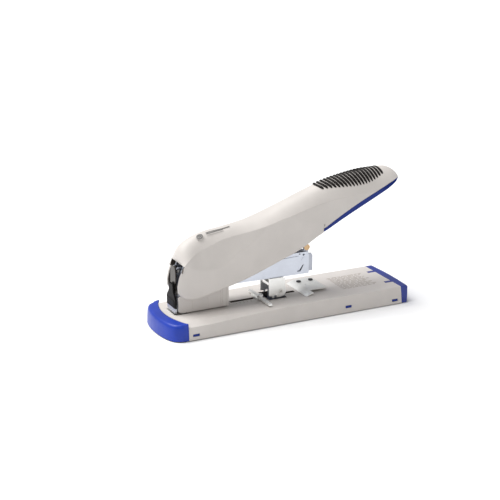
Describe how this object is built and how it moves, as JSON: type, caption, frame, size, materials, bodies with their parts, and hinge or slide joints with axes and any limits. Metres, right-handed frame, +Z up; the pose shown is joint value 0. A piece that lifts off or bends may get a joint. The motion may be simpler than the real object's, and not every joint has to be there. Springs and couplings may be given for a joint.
{
  "type": "heavy duty stapler",
  "caption": "Long-arm heavy-duty desk stapler with a ribbed grip handle over a steel frame, a front magazine and a flat base with a sliding paper gauge.",
  "frame": {"origin": "centre of the bounding box on the table plane", "axes": "+X from the nose towards the grip, +Y to the far side, +Z up"},
  "size_m": [0.2656, 0.0762, 0.1366],
  "materials": {
    "warm_grey_plastic": "satin",
    "blue_plastic": "gloss",
    "black_rubber": "matte",
    "black_paint": "satin",
    "zinc_steel": "zinc plated",
    "bright_steel": "bright",
    "chrome_steel": "polished",
    "brass_sleeve": "satin",
    "dark_screw": "black oxide"
  },
  "bodies": {
    "base": {"base_housing": "warm_grey_plastic", "front_cap": "blue_plastic", "rear_cap": "blue_plastic", "bottom_tray": "blue_plastic", "rubber_feet": "black_rubber", "tray_screws": "dark_screw", "base_spine": "zinc_steel", "anvil_plate": "bright_steel", "anvil_screws": "dark_screw", "hinge_bracket": "zinc_steel", "hinge_pin": "bright_steel", "rear_plate": "zinc_steel", "rear_plate_screws": "dark_screw"},
    "gauge": {"paper_gauge": "zinc_steel", "gauge_knob": "bright_steel"},
    "upper_frame": {"frame_channel": "zinc_steel", "inner_channel": "zinc_steel", "hinge_legs": "bright_steel", "leg_rivets": "bright_steel", "magazine_housing": "warm_grey_plastic", "staple_guide": "zinc_steel", "handle_pivot_pin": "bright_steel", "pivot_clips": "bright_steel", "lever_pivot_pin": "bright_steel", "stop_bar": "bright_steel", "stop_sleeve": "brass_sleeve"},
    "loading_tray": {"head_plate": "black_paint", "staple_rail": "zinc_steel", "staple_strip": "bright_steel", "pusher_rod": "bright_steel"},
    "staple_pusher": {"pusher": "zinc_steel", "pusher_spring": "bright_steel"},
    "driver": {"driver_blade": "chrome_steel", "link_pin": "bright_steel"},
    "lever": {"drive_lever": "zinc_steel", "return_spring": "bright_steel"},
    "handle": {"cover_shell": "warm_grey_plastic", "grip_insert": "black_rubber", "grip_underplate": "blue_plastic", "underplate_screws": "dark_screw", "handle_arm": "zinc_steel", "roller_pin": "bright_steel"},
    "roller": {"press_roller": "chrome_steel"}
  },
  "joints": [
    {"name": "magazine_lift", "type": "hinge", "parent": "base", "child": "upper_frame", "pos_m": [-0.0016, 0, 0.0242], "axis": [0, 1, 0], "range_deg": [0, 12]},
    {"name": "gauge_slide", "type": "slide", "parent": "base", "child": "gauge", "axis": [1, 0, 0], "range_m": [-0.025, 0.003]},
    {"name": "handle_press", "type": "hinge", "parent": "upper_frame", "child": "handle", "pos_m": [-0.0994, 0, 0.068], "axis": [0, 1, 0], "range_deg": [0, 15], "stiffness_Nm_per_rad": 1.5, "springref_deg": -28.65},
    {"name": "lever_swing", "type": "hinge", "parent": "upper_frame", "child": "lever", "pos_m": [0.0246, 0, 0.053], "axis": [0, -1, 0], "range_deg": [0, 7.35], "deforming": ["return_spring"]},
    {"name": "driver_stroke", "type": "slide", "parent": "upper_frame", "child": "driver", "axis": [0, 0, -1], "range_m": [0, 0.01705]},
    {"name": "tray_slide", "type": "slide", "parent": "upper_frame", "child": "loading_tray", "axis": [-1, 0, 0], "range_m": [0, 0.058]},
    {"name": "pusher_slide", "type": "slide", "parent": "loading_tray", "child": "staple_pusher", "axis": [1, 0, 0], "range_m": [0, 0.009], "stiffness_N_per_m": 60, "springref_m": -0.03, "deforming": ["pusher_spring"]},
    {"name": "roller_spin", "type": "hinge", "parent": "handle", "child": "roller", "pos_m": [-0.0584, 0, 0.06712], "axis": [0, 1, 0], "continuous": true}
  ],
  "couplings": [
    {"joint": "lever_swing", "follows": "handle_press", "ratio": 0.48667},
    {"joint": "driver_stroke", "follows": "handle_press", "m_per_rad": 0.064935}
  ]
}
